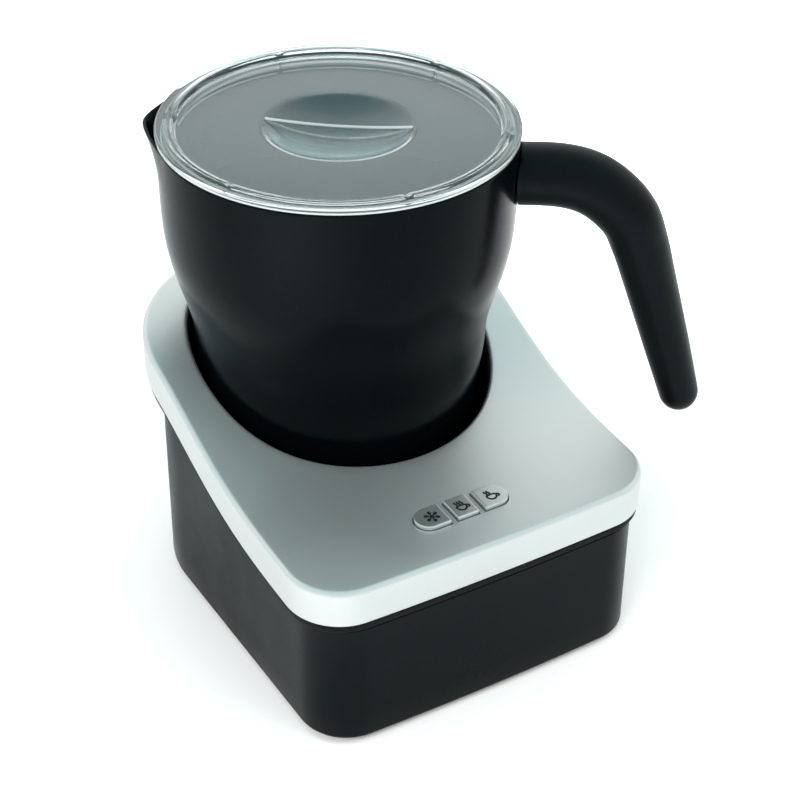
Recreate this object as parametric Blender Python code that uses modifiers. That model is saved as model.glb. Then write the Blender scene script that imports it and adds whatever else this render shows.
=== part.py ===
"""Countertop milk frother: a D-shaped electric base with three keys, and a lift-out jug with a
curved handle, pouring lip, clear lid and magnet-driven whisk.  Units are metres, +Z up, keys
towards -Y.  Everything is laid out about the jug's upright axis and then moved as a whole so
that the origin is the middle of the footprint, on the worktop."""
import bpy
import bmesh
from math import sin, cos, pi, radians, exp, hypot
from mathutils import Vector

# ---- driving dimensions -------------------------------------------------------------------
GAP = 0.0003            # clearance between pieces that rest on or against each other
# plan outlines, from the jug axis: half width, front edge, corner radius, start and depth of
# the rounded back
COVER_PLAN = (0.0643, -0.0976, 0.0185, 0.0092, 0.0496)
FRAME_PLAN = (0.0637, -0.0973, 0.0181, 0.0089, 0.0494)
HOUSING_PLAN = (0.0608, -0.0970, 0.0166, 0.0030, 0.0510)
FRONT_BOW = 0.0008      # how far the front bulges at its middle
RIM_LOW = 0.0500        # height of the cover's lower edge at the front
RIM_RISE = 0.0335       # how much higher it is at the back
RIM_MID, RIM_SPREAD = -0.0105, 0.019    # place and softness of the sweep
RIM_TALL = 0.0128       # height of the cover's edge band
COVER_T = 0.0016
COVER_ROUND = 0.0018    # rounding of the cover's outer top edge
HOUSING_T = 0.0021
HOUSING_Z0 = 0.0022
BACK_Y = HOUSING_PLAN[3] + HOUSING_PLAN[4]     # outside of the housing at the back
HOLE_R = 0.0509         # opening in the cover that the jug stands in
WELL_R = 0.0501
WELL_T = 0.0015
WELL_FLOOR = 0.0340
JUG_BOTTOM = 0.0356
JUG_T = 0.0012
JUG_RIM = 0.1620
JUG_R = 0.0575
SPOUT_REACH = 0.0048
HANDLE_DEG = -35.0      # compass of the handle, from +X; the lip is opposite
LID_TOP = 0.1648
LID_R = 0.05775
KEY_X = -0.0016         # middle of the key row
KEY_Y = -0.0790
KEY_HALF = 0.0047       # half depth of a key, and the radius of the row's round ends
KEY_MID = 0.0039        # half width of the middle key
KEY_SPACE = 0.0024      # between one key and the next
KEY_END = 0.0105        # length of the two end keys, round ends included
KEY_PROUD = 0.0014
KEY_ROOM = 0.00035      # gap round each key in the cover
MOTOR_R = 0.0145
DRIVE_R = 0.012
AROUND = 40             # facets round the jug

# ---- clean start --------------------------------------------------------------------------
for old in list(bpy.data.objects):
    bpy.data.objects.remove(old, do_unlink=True)
for old in list(bpy.data.collections):
    bpy.data.collections.remove(old)

PARTS = bpy.data.collections.new("milk_frother")
TOOLS = bpy.data.collections.new("cutters")
bpy.context.scene.collection.children.link(PARTS)
bpy.context.scene.collection.children.link(TOOLS)
TOOLS.hide_render = True


# ---- materials ----------------------------------------------------------------------------
def paint(name, rgb, rough, metal=0.0, alpha=1.0):
    m = bpy.data.materials.new(name)
    m.use_nodes = True
    b = m.node_tree.nodes["Principled BSDF"]
    b.inputs["Base Color"].default_value = (rgb[0], rgb[1], rgb[2], 1.0)
    b.inputs["Roughness"].default_value = rough
    b.inputs["Metallic"].default_value = metal
    b.inputs["Alpha"].default_value = alpha
    m.diffuse_color = (rgb[0], rgb[1], rgb[2], alpha)
    m.roughness = rough
    m.metallic = metal
    return m


def own(base, node):
    m = base.copy()
    m.name = node
    return m


SILVER = paint("silver", (0.66, 0.66, 0.66), 0.36, 0.85)
BLACK = paint("black", (0.016, 0.016, 0.017), 0.42)
SOFT = paint("soft_black", (0.02, 0.02, 0.021), 0.62)
COATED = paint("coated_black", (0.018, 0.018, 0.02), 0.33)
RUBBER = paint("rubber", (0.015, 0.015, 0.015), 0.8)
STEEL = paint("steel", (0.55, 0.55, 0.56), 0.3, 1.0)
ZINC = paint("zinc", (0.48, 0.49, 0.5), 0.45, 1.0)
COPPER = paint("copper", (0.62, 0.27, 0.12), 0.35, 1.0)
FERRITE = paint("ferrite", (0.05, 0.05, 0.055), 0.6)
BOARD = paint("board", (0.02, 0.16, 0.07), 0.5)
ALU = paint("aluminium", (0.6, 0.61, 0.62), 0.4, 1.0)
NYLON = paint("nylon", (0.72, 0.71, 0.68), 0.5)
CLEAR = paint("clear", (0.62, 0.68, 0.68), 0.1, 0.0, 0.4)
SILICONE = paint("silicone", (0.3, 0.31, 0.32), 0.55)


# ---- helpers ------------------------------------------------------------------------------
def place(obj, at=(0, 0, 0), tool=False, smooth=35):
    (TOOLS if tool else PARTS).objects.link(obj)
    obj.location = at
    if tool:
        obj.hide_render = True
        obj.display_type = 'WIRE'
    elif smooth:
        bpy.context.view_layer.objects.active = obj
        for f in obj.data.polygons:
            f.use_smooth = True
        obj.data.set_sharp_from_angle(angle=radians(smooth))
    return obj


def from_bm(name, bm, mat=None, at=(0, 0, 0), tool=False, smooth=35):
    me = bpy.data.meshes.new(name)
    bm.to_mesh(me)
    bm.free()
    obj = bpy.data.objects.new(name, me)
    if mat:
        me.materials.append(own(mat, name))
    return place(obj, at, tool, smooth)


def skin(rings, closed_tip=None, first_tip=None):
    """Faces between rings of points that all run counter-clockwise seen from above."""
    bm = bmesh.new()
    rows = [[bm.verts.new(p) for p in ring] for ring in rings]
    n = len(rows[0])
    for lower, upper in zip(rows, rows[1:]):
        for j in range(n):
            k = (j + 1) % n
            bm.faces.new((lower[j], lower[k], upper[k], upper[j]))
    if closed_tip is not None:
        tip = bm.verts.new(closed_tip)
        for j in range(n):
            bm.faces.new((rows[-1][j], rows[-1][(j + 1) % n], tip))
    if first_tip is not None:
        tip = bm.verts.new(first_tip)
        for j in range(n):
            bm.faces.new((tip, rows[0][(j + 1) % n], rows[0][j]))
    return bm


def thicken(obj, t):
    m = obj.modifiers.new("thickness", 'SOLIDIFY')
    m.thickness = t
    m.offset = -1.0
    m.use_even_offset = True
    m.use_rim = True
    return obj


def rounded(obj, width, segments=2, angle=40):
    m = obj.modifiers.new("round", 'BEVEL')
    m.width = width
    m.segments = segments
    m.limit_method = 'ANGLE'
    m.angle_limit = radians(angle)
    return obj


def cut(obj, tool, how='DIFFERENCE'):
    m = obj.modifiers.new(how.lower(), 'BOOLEAN')
    m.operation = how
    m.solver = 'EXACT'
    m.object = tool
    return obj


def turned(name, profile, mat=None, at=(0, 0, 0), steps=24, loop=False, tool=False):
    """Profile of (radius, height) points run down the outer side, spun about the upright axis."""
    bm = bmesh.new()
    vs = [bm.verts.new((r, 0.0, z)) for r, z in profile]
    for a, b in zip(vs, vs[1:]):
        bm.edges.new((a, b))
    if loop:
        bm.edges.new((vs[-1], vs[0]))
    me = bpy.data.meshes.new(name)
    bm.to_mesh(me)
    bm.free()
    obj = bpy.data.objects.new(name, me)
    if mat:
        me.materials.append(own(mat, name))
    place(obj, at, tool, 0)
    m = obj.modifiers.new("turn", 'SCREW')
    m.angle = 2 * pi
    m.screw_offset = 0.0
    m.axis = 'Z'
    m.steps = steps
    m.render_steps = steps
    m.use_merge_vertices = True
    m.merge_threshold = 0.00005
    m.use_smooth_shade = False
    return obj


def rod(name, r, z0, z1, mat=None, at=(0, 0, 0), steps=24, tool=False):
    return turned(name, [(0, z1), (r, z1), (r, z0), (0, z0)], mat, at, steps, tool=tool)


def ring(name, r0, r1, z0, z1, mat=None, at=(0, 0, 0), steps=32):
    return turned(name, [(r0, z1), (r1, z1), (r1, z0), (r0, z0)], mat, at, steps, loop=True)


def block(name, size, mat=None, at=(0, 0, 0), edge=0.0, turn=0.0, tool=False):
    bm = bmesh.new()
    bmesh.ops.create_cube(bm, size=1.0)
    bmesh.ops.scale(bm, vec=size, verts=bm.verts)
    obj = from_bm(name, bm, mat, at, tool, 35)
    obj.rotation_euler = (0, 0, turn)
    if edge:
        rounded(obj, edge, 1)
    return obj


# ---- shape rules of the base --------------------------------------------------------------
def sweep(y):
    return RIM_RISE / (1.0 + exp(-(y - RIM_MID) / RIM_SPREAD))


def rim_low(y):
    return RIM_LOW + sweep(y)


def deck(y):
    return rim_low(y) + RIM_TALL


def plan(shape, inset=0.0, front=8, corner=5, side=7, back=22):
    """Outline of the base seen from above, counter-clockwise from the front's left end."""
    half, edge, bend, turn_y, depth = shape
    w, y0, r, d = half - inset, edge + inset, bend - inset, depth - inset
    pts = []
    for i in range(front):
        x = (w - r) * (2 * i / front - 1)
        pts.append((x, y0 - FRONT_BOW * (1 - (x / (w - r)) ** 2)))
    for i in range(corner):
        a = radians(-90 + 90 * i / corner)
        pts.append((w - r + r * cos(a), y0 + r + r * sin(a)))
    side_y = [y0 + r + (turn_y - y0 - r) * i / side for i in range(side)]
    pts += [(w, y) for y in side_y]
    for i in range(back):
        a = pi * i / back
        pts.append((w * cos(a), turn_y + d * sin(a)))
    pts += [(-w, y) for y in [turn_y] + side_y[:0:-1]]
    for i in range(corner):
        a = radians(180 + 90 * i / corner)
        pts.append((-(w - r) + r * cos(a), y0 + r + r * sin(a)))
    return pts


def lift(points, height):
    return [(x, y, height(y) if callable(height) else height) for x, y in points]


def circle_for(points, r):
    """Points of a circle about the jug axis, at the same compass as the given outline."""
    out = []
    for x, y in points:
        k = r / hypot(x, y)
        out.append((x * k, y * k))
    return out


def circle(r, n=AROUND, z=0.0):
    return [(r * cos(2 * pi * i / n), r * sin(2 * pi * i / n), z) for i in range(n)]


# ---- base ---------------------------------------------------------------------------------
def make_cover():
    rings = []
    outer = plan(COVER_PLAN)
    rings.append(lift(outer, rim_low))
    rings.append(lift(outer, lambda y: deck(y) - COVER_ROUND))
    for deg in (35, 65):
        a = radians(deg)
        drop = COVER_ROUND * (1 - sin(a))
        rings.append(lift(plan(COVER_PLAN, COVER_ROUND * (1 - cos(a))),
                          lambda y, d=drop: deck(y) - d))
    edge = plan(COVER_PLAN, COVER_ROUND)
    lip = circle_for(edge, HOLE_R + 0.0012)
    for t in (0.0, 0.3, 0.65):
        rings.append(lift([(a[0] + (b[0] - a[0]) * t, a[1] + (b[1] - a[1]) * t)
                           for a, b in zip(edge, lip)], deck))
    rings.append(lift(lip, deck))
    rings.append(lift(circle_for(edge, HOLE_R + 0.0003), lambda y: deck(y) - 0.0004))
    rings.append(lift(circle_for(edge, HOLE_R), lambda y: deck(y) - 0.0022))
    obj = from_bm("top_cover", skin(rings), SILVER, smooth=30)
    thicken(obj, COVER_T)
    for n in KEYS:
        cut(obj, from_bm("cutter_" + n, prism(key_outline(n, KEY_ROOM), 0.054, 0.07), None,
                         (KEY_X, KEY_Y, 0), True))
    return obj


def stadium(half_len, r, n=8):
    pts = []
    for side, a0 in ((1, -90), (-1, 90)):
        for i in range(n + 1):
            a = radians(a0 + 180 * i / n)
            pts.append((side * (half_len - r) + r * cos(a), r * sin(a)))
    return pts


def prism(points, z0, z1):
    bm = bmesh.new()
    low = [bm.verts.new((x, y, z0(y) if callable(z0) else z0)) for x, y in points]
    top = [bm.verts.new((x, y, z1(y) if callable(z1) else z1)) for x, y in points]
    bm.faces.new(top)
    bm.faces.new(low[::-1])
    n = len(points)
    for j in range(n):
        k = (j + 1) % n
        bm.faces.new((low[j], low[k], top[k], top[j]))
    return bm


KEYS = ("cold", "hot", "warm")
KEY_SPAN = {"cold": (-KEY_MID - KEY_SPACE - KEY_END, -KEY_MID - KEY_SPACE),
            "hot": (-KEY_MID, KEY_MID),
            "warm": (KEY_MID + KEY_SPACE, KEY_MID + KEY_SPACE + KEY_END)}


def key_outline(n, room=0.0):
    """One key of the row seen from above: the outer two have a half-round end."""
    x0, x1 = KEY_SPAN[n][0] - room, KEY_SPAN[n][1] + room
    r = KEY_HALF + room
    if n == "warm":
        pts = [(x1 - r + r * cos(a), r * sin(a)) for a in
               [radians(-90 + 180 * k / 12) for k in range(13)]]
    else:
        pts = [(x1, -r), (x1, r)]
    if n == "cold":
        pts += [(x0 + r + r * cos(a), r * sin(a)) for a in
                [radians(90 + 180 * k / 12) for k in range(13)]]
    else:
        pts += [(x0, r), (x0, -r)]
    return pts


def make_housing():
    outer = plan(HOUSING_PLAN)
    top = lambda y: rim_low(y) - 0.0033
    rings = [lift(outer, HOUSING_Z0), lift(outer, 0.030), lift(outer, top)]
    obj = from_bm("base_housing", skin(rings), BLACK)
    thicken(obj, HOUSING_T)
    tool = rod("cutter_inlet", 0.0052, -0.012, 0.012, None,
               (0, BACK_Y, 0.0150), 20, True)
    tool.rotation_euler = (radians(90), 0, 0)
    cut(obj, tool)
    return obj


def make_frame():
    """Dark frame between the housing wall and the cover, showing as a thin lip."""
    outer, inner = plan(FRAME_PLAN), plan(HOUSING_PLAN, HOUSING_T)
    lo = lambda y: rim_low(y) - 0.0030
    hi = lambda y: rim_low(y) - GAP
    bm = skin([lift(outer, lo), lift(outer, hi), lift(inner, hi), lift(inner, lo), lift(outer, lo)])
    bmesh.ops.remove_doubles(bm, verts=bm.verts, dist=0.00001)
    return from_bm("deck_frame", bm, BLACK)


def make_well():
    n = 48
    flat = [(cos(2 * pi * i / n), sin(2 * pi * i / n)) for i in range(n)]
    at = lambda r, z: lift([(x * r, y * r) for x, y in flat], z)
    under = lambda y: deck(y) - 0.0031
    rings = [at(0.0555, under), at(WELL_R + 0.0004, under),
             at(WELL_R, lambda y: under(y) - 0.0006), at(WELL_R - 0.0006, 0.046),
             at(0.0488, 0.0385), at(0.0472, 0.0349), at(0.0447, WELL_FLOOR),
             at(0.020, WELL_FLOOR)]
    obj = from_bm("well_liner", skin(rings, closed_tip=(0, 0, WELL_FLOOR)), BLACK, smooth=30)
    thicken(obj, WELL_T)
    cut(obj, rod("cutter_sensor", 0.0039, 0.030, 0.037, None, (0, -0.0285, 0), 20, True))
    return obj


def make_base_plate():
    outline = plan(HOUSING_PLAN, HOUSING_T + GAP, front=4, corner=4, side=2, back=16)
    obj = from_bm("base_plate", prism(outline, 0.0025, 0.0045), BLACK)
    for i in range(7):
        x = (i - 3) * 0.0075
        slot = from_bm("cutter_vent_%d" % (i + 1), prism(stadium(0.011, 0.0015, 4), 0, 0.007),
                       None, (x, -0.064, 0), True)
        slot.rotation_euler = (0, 0, radians(90))
        cut(obj, slot)
    for i, (x, y) in enumerate(SCREWS):
        cut(obj, rod("cutter_screw_%d" % (i + 1), 0.0032, 0, 0.007, None, (x, y, 0), 14, True))
    for i, (x, y, top) in enumerate(POSTS):
        cut(obj, rod("post_%d" % (i + 1), POST_R, 0.0040, top, None, (x, y, 0), 10, True), 'UNION')
    return obj


FEET = ((-0.044, -0.080), (0.044, -0.080), (-0.038, 0.028), (0.038, 0.028))
SCREWS = ((-0.030, -0.085), (0.030, -0.085), (-0.030, 0.040), (0.030, 0.040))
POST_R = 0.0019
# posts standing on the base plate: four under the power board and three under the coil carrier
POSTS = tuple((sx * 0.046, -0.0745 + sy * 0.0115, 0.0109) for sx in (-1, 1) for sy in (-1, 1)) + (
    (-0.0425, 0.0, 0.0247), (0.0425, 0.0, 0.0247), (0.0, 0.0425, 0.0247))


def make_feet_and_screws():
    names = ("front_left", "front_right", "rear_left", "rear_right")
    for (x, y), n in zip(FEET, names):
        turned("foot_" + n, [(0, 0.0022), (0.0078, 0.0022), (0.0080, 0.0006), (0.0074, 0.0),
                             (0, 0.0)], RUBBER, (x, y, 0), 16)
    for i, (x, y) in enumerate(SCREWS):
        turned("base_screw_%d" % (i + 1), [(0, 0.0105), (0.0013, 0.0105), (0.0013, 0.0046),
               (0.0028, 0.0044), (0.0028, 0.0029), (0, 0.0029)], ZINC, (x, y, 0), 12)


def make_inlet():
    """Bushing in the back wall with an open bore for a mains lead."""
    prof = [(0.0034, 0.0018), (0.0066, 0.0018), (0.0070, 0.0008), (0.0070, 0.0006),
            (0.0048, 0.0004), (0.0048, -0.0034), (0.0070, -0.0036), (0.0070, -0.0056),
            (0.0034, -0.0056)]
    obj = turned("cord_inlet", prof, RUBBER, (0, BACK_Y, 0.0150), 20, loop=True)
    obj.rotation_euler = (radians(-90), 0, 0)
    return obj


# ---- drive, heating and electronics -------------------------------------------------------
def make_drive():
    turned("motor_can", [(0, 0.0170), (0.0015, 0.0170), (0.0015, 0.0245), (0.0045, 0.0245),
           (0.0048, 0.0232), (MOTOR_R, 0.0232), (MOTOR_R, 0.0063), (0, 0.0063)], ZINC)
    turned("motor_bracket", [(0, 0.0060), (MOTOR_R + GAP, 0.0060), (MOTOR_R + GAP, 0.0140),
           (0.0165, 0.0140), (0.0165, 0.0062), (0.0225, 0.0060), (0.0225, 0.0048),
           (0, 0.0048)], NYLON)
    rod("drive_shaft", 0.0014, 0.0173, 0.0269, STEEL)
    turned("drive_disc", [(0, 0.0302), (0.0115, 0.0302), (DRIVE_R, 0.0297), (DRIVE_R, 0.0272),
           (0, 0.0272)], NYLON, steps=28)
    for i, s in enumerate((1, -1)):
        rod("drive_magnet_%d" % (i + 1), 0.0034, 0.0305, 0.0320, STEEL,
            (s * 0.0076, 0, 0), 16)


def make_heating():
    ring("coil_inner", 0.0165, 0.0240, 0.0273, 0.0303, COPPER, steps=28)
    ring("coil_outer", 0.0330, 0.0430, 0.0273, 0.0303, COPPER, steps=32)
    obj = ring("coil_carrier", 0.0160, 0.0448, 0.0250, 0.0270, NYLON, steps=32)
    cut(obj, rod("cutter_stem", 0.0018, 0.023, 0.029, None, (0, -0.0285, 0), 14, True))
    for i in range(4):
        a = radians(45 + 90 * i)
        block("ferrite_bar_%d" % (i + 1), (0.024, 0.0065, 0.0032), FERRITE,
              (0.0305 * cos(a), 0.0305 * sin(a), 0.0231), 0.0004, a)


def make_sensor():
    at = (0, -0.0285, 0)
    turned("sensor_plunger", [(0, 0.0342), (0.0030, 0.0342), (0.0034, 0.0338), (0.0034, 0.0318),
           (0.0041, 0.0316), (0.0041, 0.0307), (0.0013, 0.0307), (0.0013, 0.0236),
           (0, 0.0236)], STEEL, at, 20)
    wire, turns, per = 0.00022, 3, 10
    z0, z1, r = 0.0273 + wire, 0.0304 - wire, 0.0027
    cu = bpy.data.curves.new("sensor_spring", 'CURVE')
    cu.dimensions = '3D'
    sp = cu.splines.new('POLY')
    count = turns * per
    sp.points.add(count)
    for i in range(count + 1):
        a = 2 * pi * i / per
        sp.points[i].co = (r * cos(a), r * sin(a), z0 + (z1 - z0) * i / count, 1)
    tube_from_curve("sensor_spring", cu, wire, 1, STEEL, at)


def tube_from_curve(name, cu, radius, res, mat, at=(0, 0, 0)):
    cu.bevel_depth = radius
    cu.bevel_resolution = res
    cu.use_fill_caps = True
    raw = bpy.data.objects.new(name + "_path", cu)
    TOOLS.objects.link(raw)
    bpy.context.view_layer.update()
    dg = bpy.context.evaluated_depsgraph_get()
    me = bpy.data.meshes.new_from_object(raw.evaluated_get(dg))
    bpy.data.objects.remove(raw, do_unlink=True)
    bm = bmesh.new()
    bm.from_mesh(me)
    bmesh.ops.remove_doubles(bm, verts=bm.verts, dist=0.000005)
    bmesh.ops.recalc_face_normals(bm, faces=bm.faces)
    return from_bm(name, bm, mat, at)


def make_electronics():
    block("control_board", (0.070, 0.026, 0.0016), BOARD, (0, -0.0770, 0.0480))
    for n in KEYS:
        block("switch_" + n, (0.0060, 0.0060, 0.0034), BLACK,
              (KEY_X + sum(KEY_SPAN[n]) / 2, KEY_Y, 0.0508), 0.0003)
    frame = block("key_frame", (0.048, 0.0190, 0.0016), BLACK, (KEY_X, KEY_Y, 0.0586), 0.0006)
    half = KEY_SPAN["warm"][1] + 0.0009
    cut(frame, from_bm("cutter_frame", prism(stadium(half, KEY_HALF + 0.0009), 0.050, 0.066),
                       None, (KEY_X, KEY_Y, 0), True))
    for i in range(4):
        corner = (KEY_X + 0.0215 * (-1) ** i, KEY_Y + (0.0068 if i < 2 else -0.0068), 0)
        cut(frame, rod("post_frame_%d" % (i + 1), 0.0016, 0.0491, 0.0612, None, corner, 10, True),
            'UNION')
    block("power_board", (0.100, 0.030, 0.0016), BOARD, (0, -0.0745, 0.0120))
    comb = block("heat_sink", (0.026, 0.020, 0.018), ALU, (0.030, -0.0745, 0.0222), 0.0004)
    for i in range(4):
        cut(comb, block("cutter_fin_%d" % (i + 1), (0.0026, 0.03, 0.02), None,
                        (0.030 + (i - 1.5) * 0.0056, -0.0745, 0.0292), tool=True))
    turned("filter_capacitor", [(0, 0.0340), (0.0058, 0.0340), (0.0065, 0.0333),
           (0.0065, 0.0131), (0, 0.0131)], BLACK, (-0.036, -0.0745, 0), 20)
    turned("line_choke", [(0.0045, 0.0215), (0.0060, 0.0225), (0.0092, 0.0225),
           (0.0105, 0.0212), (0.0105, 0.0144), (0.0092, 0.0131), (0.0060, 0.0131),
           (0.0045, 0.0144)], COPPER, (-0.012, -0.0745, 0), 20, loop=True)


def make_keys():
    """Three separate caps in a row, standing slightly proud of the cover."""
    top = lambda y: deck(KEY_Y + y) + KEY_PROUD
    for n in KEYS:
        cx = sum(KEY_SPAN[n]) / 2
        pts = [(x - cx, y) for x, y in key_outline(n)]
        obj = from_bm("key_" + n, prism(pts, 0.0540, top), SILVER, (KEY_X + cx, KEY_Y, 0))
        rounded(obj, 0.0005, 2, 50)


# ---- jug ----------------------------------------------------------------------------------
JUG_LINE = ((0.0365, 0.0356), (0.0412, 0.0358), (0.0430, 0.0372), (0.0438, 0.0400),
            (0.0446, 0.0520), (0.0459, 0.0680), (0.0472, 0.0760), (0.0482, 0.0830),
            (0.0487, 0.0900), (0.0493, 0.0965), (0.0507, 0.1030), (0.0530, 0.1110),
            (0.0549, 0.1180), (0.0564, 0.1260), (0.0571, 0.1350), (0.0574, 0.1460),
            (JUG_R, 0.1540), (JUG_R, JUG_RIM))


def lip_push(angle, z):
    """How far the pouring lip carries the wall outwards at this compass and height."""
    off = (angle - radians(HANDLE_DEG + 180) + pi) % (2 * pi) - pi
    rise = max(0.0, min(1.0, (z - 0.1480) / (JUG_RIM - 0.1480)))
    return SPOUT_REACH * max(0.0, 1 - abs(off) / radians(21)) ** 1.5 * rise ** 1.4


def make_jug():
    turn = radians(HANDLE_DEG)
    rings = []
    for r, z in JUG_LINE:
        pts = []
        for i in range(AROUND):
            a = turn + 2 * pi * i / AROUND
            rr = r + lip_push(a, z)
            pts.append((rr * cos(a), rr * sin(a), z))
        rings.append(pts)
    obj = from_bm("jug_shell", skin(rings, first_tip=(0, 0, JUG_BOTTOM)), COATED, smooth=40)
    thicken(obj, JUG_T)
    ring("jug_foot_ring", 0.0385, 0.0410, 0.0343, 0.0353, SILICONE, steps=32)
    rod("jug_heat_disc", 0.0375, 0.0346, 0.0353, STEEL, steps=32)
    turned("whisk_spindle", [(0, 0.0500), (0.0016, 0.0500), (0.0022, 0.0492), (0.0022, 0.0381),
           (0.0050, 0.0381), (0.0050, 0.0371), (0, 0.0371)], STEEL, steps=24)


# grip centre line: distance from the jug axis, height and half thickness
HANDLE_KEYS = ((0.0540, 0.1481, 0.0099), (0.0710, 0.1481, 0.0100), (0.0825, 0.1445, 0.0100),
               (0.0923, 0.1356, 0.0098), (0.0972, 0.1249, 0.0093), (0.1013, 0.1121, 0.00875),
               (0.1056, 0.0983, 0.0082), (0.1101, 0.0838, 0.0076), (0.1147, 0.0686, 0.0068))
HANDLE_WIDE = 1.1       # width of the grip over its thickness


def between(p, q, r, s, t):
    """Point a share t of the way from q to r on a smooth curve through p, q, r and s."""
    return tuple(0.5 * (2 * b + (c - a) * t + (2 * a - 5 * b + 4 * c - d) * t * t
                        + (3 * b - a - 3 * c + d) * t ** 3) for a, b, c, d in zip(p, q, r, s))


def handle_line():
    k = HANDLE_KEYS
    pts = []
    for i in range(len(k) - 1):
        p, s = k[max(i - 1, 0)], k[min(i + 2, len(k) - 1)]
        pts += [between(p, k[i], k[i + 1], s, t) for t in (0.0, 0.5)]
    (s0, z0, _), (s1, z1, r) = k[-2], k[-1]
    run = hypot(s1 - s0, z1 - z0)
    for deg in (0, 28, 52, 72, 84):
        a = radians(deg)
        pts.append((s1 + (s1 - s0) / run * r * sin(a), z1 + (z1 - z0) / run * r * sin(a),
                    r * cos(a)))
    return pts


def make_handle():
    """Swept grip: level at its root, then down and outwards to a free rounded end."""
    pts = handle_line()
    cu = bpy.data.curves.new("handle", 'CURVE')
    cu.dimensions = '3D'
    sp = cu.splines.new('POLY')
    sp.points.add(len(pts) - 1)
    for p, (s, z, r) in zip(sp.points, pts):
        p.co = (s, 0, z, 1)
        p.radius = r
    obj = tube_from_curve("handle", cu, 1.0, 3, SOFT)
    for v in obj.data.vertices:
        v.co.y *= HANDLE_WIDE
    a = radians(HANDLE_DEG)
    obj.rotation_euler = (0, 0, a)
    cut(obj, rod("cutter_jug_side", JUG_R + 0.00035, 0.120, 0.180, None, steps=96, tool=True))
    z = HANDLE_KEYS[0][1]
    cut(obj, block("cutter_bracket", (0.0100, 0.0116, 0.0106), None,
                   (0.0565 * cos(a), 0.0565 * sin(a), z), turn=a, tool=True))
    block("handle_bracket", (0.0032, 0.0110, 0.0100), BLACK,
          (0.0596 * cos(a), 0.0596 * sin(a), z), 0.0005, a)


# ---- whisk and lid ------------------------------------------------------------------------
def make_whisk():
    ring("whisk_bush", 0.0023, 0.0040, 0.0384, 0.0480, NYLON, steps=24)
    turned("whisk_disc", [(0.00409, 0.0476), (0.0058, 0.0476), (0.0070, 0.0432),
           (0.0160, 0.0424), (0.0170, 0.0418), (0.0170, 0.0390), (0.0166, 0.0386),
           (0.00409, 0.0386)], NYLON, steps=28, loop=True)
    ring("whisk_magnet", 0.0080, 0.0130, 0.0372, 0.0383, FERRITE, steps=28)
    n = 6
    prof = [(0.0191 + 0.0016 * cos(2 * pi * i / n), 0.0405 - 0.0016 * sin(2 * pi * i / n))
            for i in range(n)]
    turned("whisk_spring", prof, STEEL, steps=28, loop=True)


BOWL_R = 0.0236
BOWL_OVAL = 0.97        # the finger bowl is this much narrower across its grip bar
LID_DEG = -37.5         # compass of the grip bar


def make_lid():
    """Clear plate with a raised double bead, a skirt that plugs the jug and a finger bowl."""
    plate, under = 0.1632, 0.1616
    floor_in, floor_out = 0.1582, 0.1567
    prof = [(0.0085, 0.1573), (0.0145, 0.1584), (0.0200, 0.1600), (0.0236, 0.1613),
            (0.0252, under), (0.0516, under), (0.0520, 0.1576), (0.0550, 0.1576),
            (0.0550, 0.1623), (LID_R, 0.1623), (LID_R, 0.1638), (0.0571, 0.1642),
            (0.0548, 0.1642), (0.0541, LID_TOP), (0.0528, LID_TOP), (0.0521, 0.1644),
            (0.0514, plate), (BOWL_R, plate), (0.0190, 0.1614), (0.0135, 0.1598),
            (0.0080, 0.1588)]
    rings = []
    for r, z in prof:
        squash = BOWL_OVAL if r < 0.03 else 1.0
        rings.append([(x, y * squash, z) for x, y, _ in circle(r, 48)])
    obj = from_bm("lid", skin(rings, (0, 0, floor_in), (0, 0, floor_out)), CLEAR, smooth=30)
    obj.rotation_euler = (0, 0, radians(LID_DEG))
    # grip bar: flat on top, its lower edge follows the curved floor of the bowl
    n, half = 12, BOWL_R - 0.0004
    rings = []
    for i in range(n + 1):
        x = half * (2 * i / n - 1)
        low = 0.1577 + 0.0046 * (x / half) ** 2
        rings.append([(x, -0.0008, low), (x, 0.0008, low), (x, 0.0008, 0.1638),
                      (x, -0.0008, 0.1638)])
    bar = from_bm("lid_bar_tool", skin(rings, (half, 0, 0.1630), (-half, 0, 0.1630)), None,
                  tool=True)
    bar.rotation_euler = (0, 0, radians(LID_DEG))
    cut(obj, bar, 'UNION')
    ring("lid_seal", 0.0553, 0.0559, 0.1585, 0.1605, SILICONE, steps=36)


# ---- put the middle of the footprint on the origin -----------------------------------------
def settle():
    bpy.context.view_layer.update()
    dg = bpy.context.evaluated_depsgraph_get()
    lo, hi = Vector((9, 9, 9)), Vector((-9, -9, -9))
    for o in PARTS.objects:
        me = o.evaluated_get(dg).data
        for v in me.vertices:
            p = o.matrix_world @ v.co
            for k in range(3):
                lo[k] = min(lo[k], p[k])
                hi[k] = max(hi[k], p[k])
    move = Vector((-(lo.x + hi.x) / 2, -(lo.y + hi.y) / 2, -lo.z))
    for o in list(PARTS.objects) + list(TOOLS.objects):
        o.location += move
    bpy.context.view_layer.update()
    print("jug axis at", tuple(round(c, 6) for c in move), "size", tuple(hi - lo))


make_cover()
make_housing()
make_frame()
make_well()
make_base_plate()
make_feet_and_screws()
make_inlet()
make_drive()
make_heating()
make_sensor()
make_electronics()
make_keys()
make_jug()
make_handle()
make_whisk()
make_lid()
settle()
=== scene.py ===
"""Milk frother: the finished look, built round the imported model.  Units are metres, +Z up.
Shapes are laid out about the jug's upright axis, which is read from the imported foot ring."""
from math import sin, cos, pi, radians, exp, hypot, sqrt
import bpy
import bmesh
from mathutils import Vector, Matrix


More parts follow.
